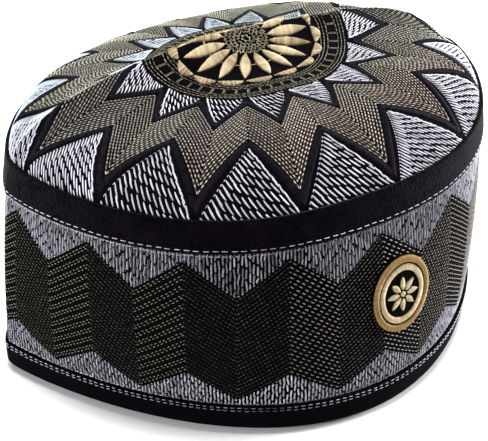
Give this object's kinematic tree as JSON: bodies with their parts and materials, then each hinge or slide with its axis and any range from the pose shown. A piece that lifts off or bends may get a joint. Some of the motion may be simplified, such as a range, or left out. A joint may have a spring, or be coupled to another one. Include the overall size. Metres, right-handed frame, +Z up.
{
  "type": "folding kufi cap",
  "caption": "Stiff folding kufi with an embroidered wall, a ridged star-patterned crown, black rim and hem tapes and a small oval patch.",
  "frame": {"origin": "middle of the base, on the surface the cap stands on", "axes": "+Z up through the crown; +X along the crown's folded ridge, towards its higher end; -Y is the front, with the patch just to the right of its middle"},
  "size_m": [0.214, 0.1818, 0.1206],
  "materials": {
    "wall_cloth": "black cloth covered in silver and dull bronze running stitch",
    "crown_cloth": "black cloth covered in bronze, silver and gold thread",
    "black_tape": "matt black twill tape",
    "gold_thread": "satin stitch in gold thread"
  },
  "bodies": {
    "root": {"side_band": "wall_cloth", "crown": "crown_cloth", "rim_band": "black_tape", "hem_binding": "black_tape", "side_patch": "gold_thread"}
  },
  "joints": []
}
